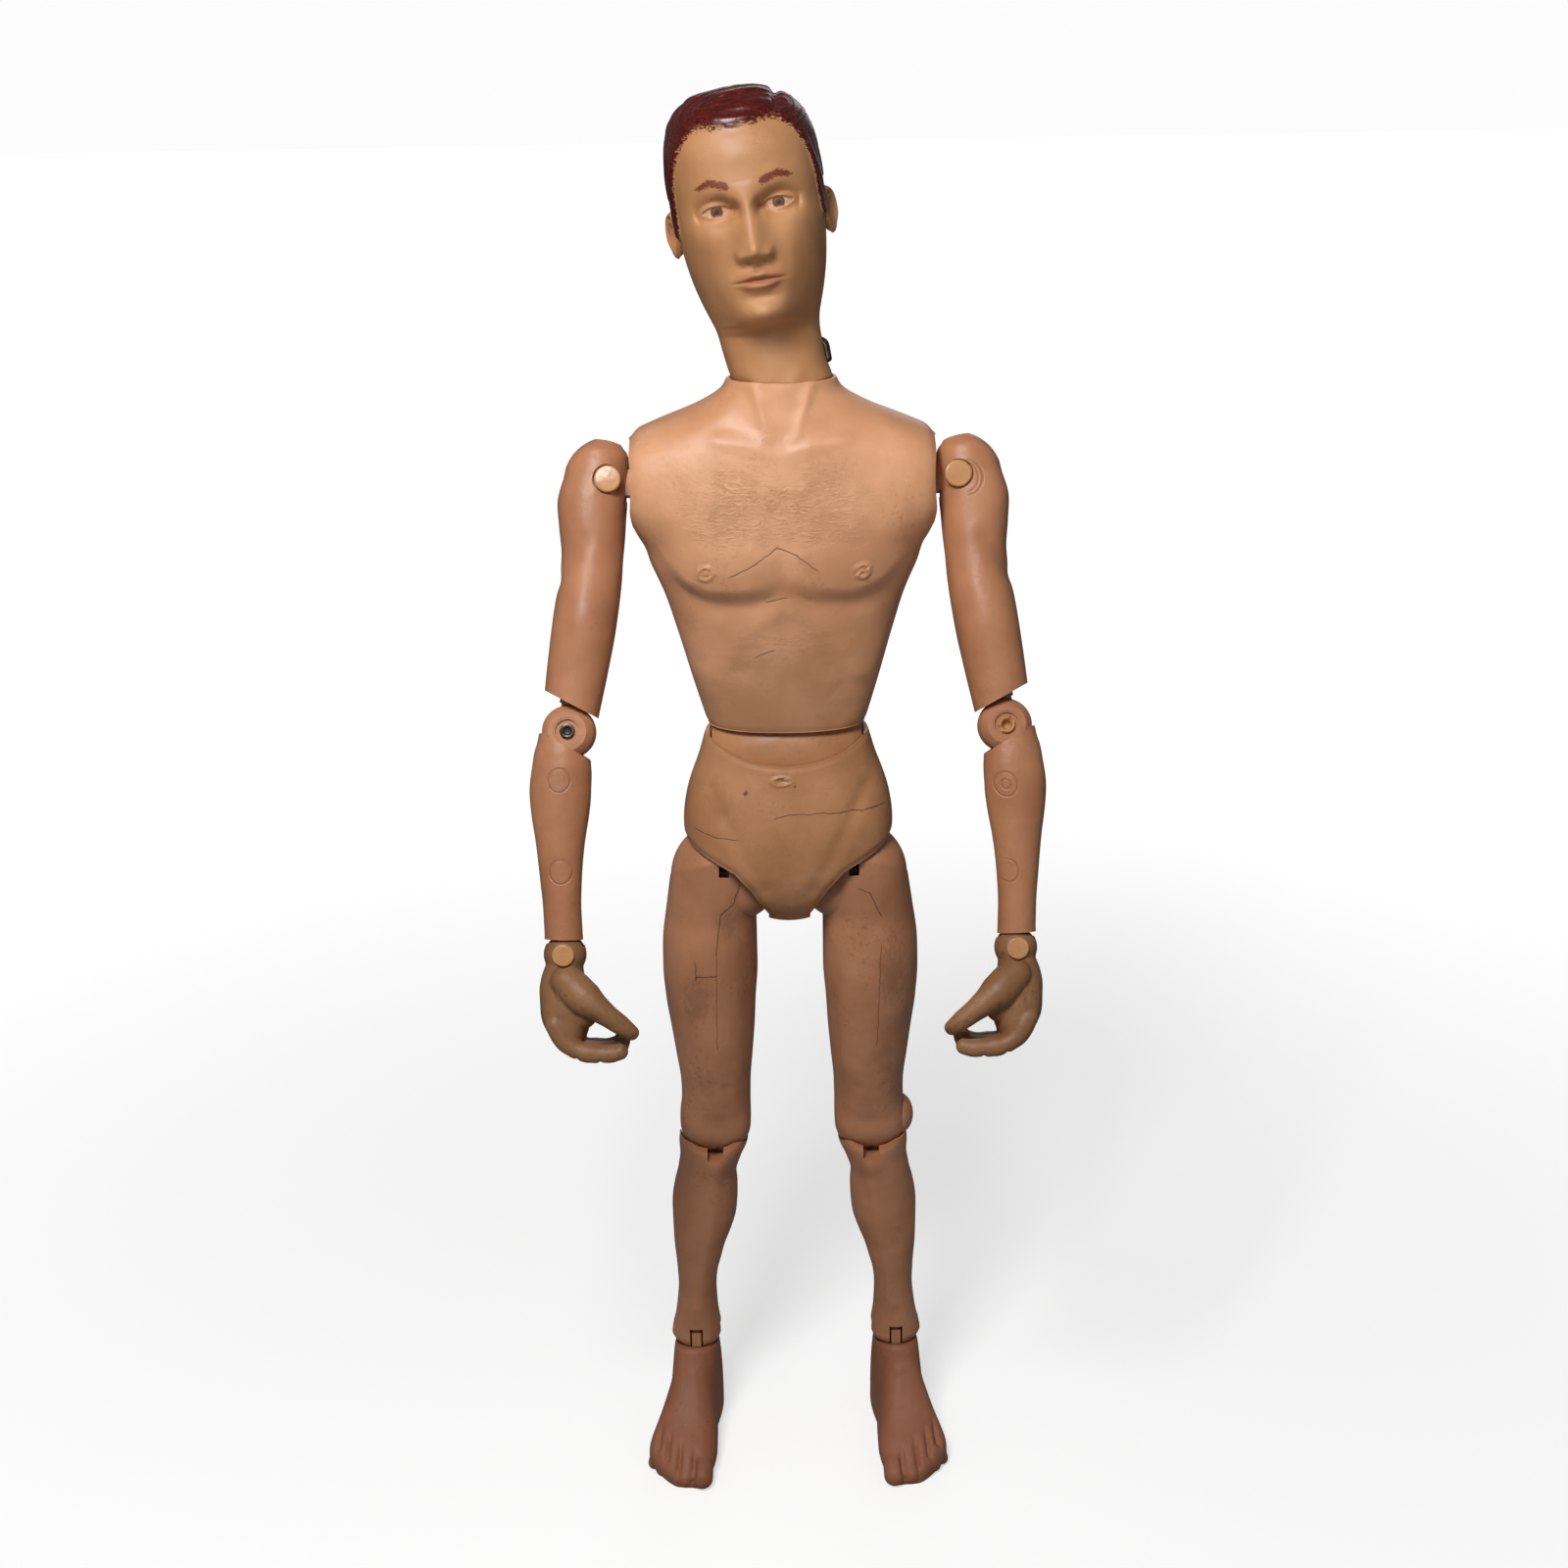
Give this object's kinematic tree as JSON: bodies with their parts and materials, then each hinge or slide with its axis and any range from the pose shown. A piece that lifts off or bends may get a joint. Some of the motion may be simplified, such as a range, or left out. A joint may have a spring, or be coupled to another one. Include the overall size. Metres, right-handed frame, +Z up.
{
  "type": "posable action figure",
  "caption": "Jointed plastic figure of a standing man: leaning head, split-shell chest, barrel waist, pinned limbs, grip hands and flat feet, held together by elastic cords.",
  "frame": {"origin": "bottom centre of the bounding box, on the plane of the soles", "axes": "+Z up from the soles to the head, the figure faces -Y, its own left side is +X"},
  "size_m": [0.1028, 0.0672, 0.2978],
  "materials": {
    "head_plastic": "satin tan plastic with painted hair and face",
    "chest_plastic": "satin pinkish tan plastic, scuffed",
    "pelvis_plastic": "satin tan plastic, scuffed",
    "arm_plastic": "satin pinkish tan plastic",
    "knuckle_plastic": "satin light tan plastic",
    "hand_plastic": "satin darker tan plastic with grime in the folds",
    "leg_plastic": "satin brownish tan plastic with fine mould cracks",
    "cap_plastic": "glossy light tan plastic",
    "steel": "dull steel",
    "elastic": "off-white elastic"
  },
  "bodies": {
    "pelvis": {"pelvis": "pelvis_plastic", "hip_elastic": "elastic"},
    "waist": {"waist_barrel": "pelvis_plastic", "waist_stud": "steel"},
    "chest": {"chest_front_shell": "chest_plastic", "chest_back_shell": "chest_plastic", "body_elastic": "elastic", "shoulder_elastic": "elastic"},
    "neck": {"neck_hook": "steel"},
    "head": {"head": "head_plastic", "neck_pin": "steel"},
    "right_shoulder": {"right_shoulder_hub": "arm_plastic"},
    "right_upper_arm": {"right_upper_arm": "arm_plastic", "right_shoulder_pin": "cap_plastic"},
    "right_elbow": {"right_elbow_knuckle": "knuckle_plastic"},
    "right_forearm": {"right_forearm": "arm_plastic", "right_elbow_pin": "steel"},
    "right_wrist": {"right_wrist_post": "knuckle_plastic"},
    "right_hand": {"right_hand": "hand_plastic", "right_wrist_pin": "cap_plastic"},
    "right_hip": {"right_hip_link": "steel"},
    "right_thigh": {"right_thigh": "leg_plastic", "right_hip_pin": "steel", "right_knee_pin": "leg_plastic"},
    "right_shin": {"right_shin": "leg_plastic", "right_knee_link": "leg_plastic", "right_ankle_pin": "steel"},
    "right_ankle": {"right_ankle_link": "leg_plastic"},
    "right_foot": {"right_foot": "leg_plastic"},
    "left_shoulder": {"left_shoulder_hub": "arm_plastic"},
    "left_upper_arm": {"left_upper_arm": "arm_plastic", "left_shoulder_pin": "cap_plastic"},
    "left_elbow": {"left_elbow_knuckle": "knuckle_plastic"},
    "left_forearm": {"left_forearm": "arm_plastic", "left_elbow_pin": "cap_plastic"},
    "left_wrist": {"left_wrist_post": "knuckle_plastic"},
    "left_hand": {"left_hand": "hand_plastic", "left_wrist_pin": "cap_plastic"},
    "left_hip": {"left_hip_link": "steel"},
    "left_thigh": {"left_thigh": "leg_plastic", "left_hip_pin": "steel", "left_knee_pin": "leg_plastic"},
    "left_shin": {"left_shin": "leg_plastic", "left_knee_link": "leg_plastic", "left_ankle_pin": "steel"},
    "left_ankle": {"left_ankle_link": "leg_plastic"},
    "left_foot": {"left_foot": "leg_plastic"}
  },
  "joints": [
    {"name": "waist_tilt", "type": "hinge", "parent": "pelvis", "child": "waist", "pos_m": [0, 0.01338, 0.165], "axis": [1, 0, 0], "range_deg": [-12, 15]},
    {"name": "waist_turn", "type": "hinge", "parent": "waist", "child": "chest", "pos_m": [0, 0.01338, 0.165], "axis": [0, 0, 1], "range_deg": [-45, 45]},
    {"name": "neck_turn", "type": "hinge", "parent": "chest", "child": "neck", "pos_m": [0, 0.01338, 0.248], "axis": [0, 0, 1], "range_deg": [-60, 60]},
    {"name": "neck_nod", "type": "hinge", "parent": "neck", "child": "head", "pos_m": [0, 0.01338, 0.248], "axis": [0.989, 0, 0.1478], "range_deg": [-15, 20]},
    {"name": "right_shoulder_swing", "type": "hinge", "parent": "chest", "child": "right_shoulder", "pos_m": [-0.0347, 0.01038, 0.2217], "axis": [-1, 0, 0], "range_deg": [-50, 140]},
    {"name": "right_shoulder_lift", "type": "hinge", "parent": "right_shoulder", "child": "right_upper_arm", "pos_m": [-0.0347, 0.01038, 0.2217], "axis": [0, 0.9455, -0.3256], "range_deg": [-4, 70]},
    {"name": "right_elbow_twist", "type": "hinge", "parent": "right_upper_arm", "child": "right_elbow", "pos_m": [-0.04364, -0.0058, 0.17471], "axis": [0.1771, 0.3204, 0.9306], "range_deg": [-90, 90]},
    {"name": "right_elbow_bend", "type": "hinge", "parent": "right_elbow", "child": "right_forearm", "pos_m": [-0.04364, -0.0058, 0.17471], "axis": [0, 0.9455, -0.3256], "range_deg": [-80, 0]},
    {"name": "right_wrist_twist", "type": "hinge", "parent": "right_forearm", "child": "right_wrist", "pos_m": [-0.04512, -0.02028, 0.13265], "axis": [0.0332, 0.3254, 0.945], "range_deg": [-90, 90]},
    {"name": "right_wrist_bend", "type": "hinge", "parent": "right_wrist", "child": "right_hand", "pos_m": [-0.04512, -0.02028, 0.13265], "axis": [0, 0.9455, -0.3256], "range_deg": [-25, 25]},
    {"name": "right_hip_lift", "type": "hinge", "parent": "pelvis", "child": "right_hip", "pos_m": [-0.0136, 0.01078, 0.1375], "axis": [0, 1, 0], "range_deg": [-2, 16]},
    {"name": "right_hip_swing", "type": "hinge", "parent": "right_hip", "child": "right_thigh", "pos_m": [-0.0136, 0.01078, 0.1375], "axis": [1, 0, 0], "range_deg": [-60, 15]},
    {"name": "right_knee_bend", "type": "hinge", "parent": "right_thigh", "child": "right_shin", "pos_m": [-0.0172, 0.01328, 0.079], "axis": [1, 0, 0], "range_deg": [0, 90]},
    {"name": "right_ankle_bend", "type": "hinge", "parent": "right_shin", "child": "right_ankle", "pos_m": [-0.0229, 0.01378, 0.025], "axis": [1, 0, 0], "range_deg": [-15, 25]},
    {"name": "right_foot_turn", "type": "hinge", "parent": "right_ankle", "child": "right_foot", "pos_m": [-0.0229, 0.01378, 0.025], "axis": [0, 0, 1], "range_deg": [-20, 20]},
    {"name": "left_shoulder_swing", "type": "hinge", "parent": "chest", "child": "left_shoulder", "pos_m": [0.0347, 0.01038, 0.2217], "axis": [1, 0, 0], "range_deg": [-140, 50]},
    {"name": "left_shoulder_lift", "type": "hinge", "parent": "left_shoulder", "child": "left_upper_arm", "pos_m": [0.0347, 0.01038, 0.2217], "axis": [0, 0.9455, -0.3256], "range_deg": [-70, 4]},
    {"name": "left_elbow_twist", "type": "hinge", "parent": "left_upper_arm", "child": "left_elbow", "pos_m": [0.04364, -0.0058, 0.17471], "axis": [-0.1771, 0.3204, 0.9306], "range_deg": [-90, 90]},
    {"name": "left_elbow_bend", "type": "hinge", "parent": "left_elbow", "child": "left_forearm", "pos_m": [0.04364, -0.0058, 0.17471], "axis": [0, 0.9455, -0.3256], "range_deg": [0, 80]},
    {"name": "left_wrist_twist", "type": "hinge", "parent": "left_forearm", "child": "left_wrist", "pos_m": [0.04512, -0.02028, 0.13265], "axis": [-0.0332, 0.3254, 0.945], "range_deg": [-90, 90]},
    {"name": "left_wrist_bend", "type": "hinge", "parent": "left_wrist", "child": "left_hand", "pos_m": [0.04512, -0.02028, 0.13265], "axis": [0, 0.9455, -0.3256], "range_deg": [-25, 25]},
    {"name": "left_hip_lift", "type": "hinge", "parent": "pelvis", "child": "left_hip", "pos_m": [0.0136, 0.01078, 0.1375], "axis": [0, 1, 0], "range_deg": [-16, 2]},
    {"name": "left_hip_swing", "type": "hinge", "parent": "left_hip", "child": "left_thigh", "pos_m": [0.0136, 0.01078, 0.1375], "axis": [1, 0, 0], "range_deg": [-60, 15]},
    {"name": "left_knee_bend", "type": "hinge", "parent": "left_thigh", "child": "left_shin", "pos_m": [0.0172, 0.01328, 0.079], "axis": [1, 0, 0], "range_deg": [0, 90]},
    {"name": "left_ankle_bend", "type": "hinge", "parent": "left_shin", "child": "left_ankle", "pos_m": [0.0229, 0.01378, 0.025], "axis": [1, 0, 0], "range_deg": [-15, 25]},
    {"name": "left_foot_turn", "type": "hinge", "parent": "left_ankle", "child": "left_foot", "pos_m": [0.0229, 0.01378, 0.025], "axis": [0, 0, 1], "range_deg": [-20, 20]}
  ]
}
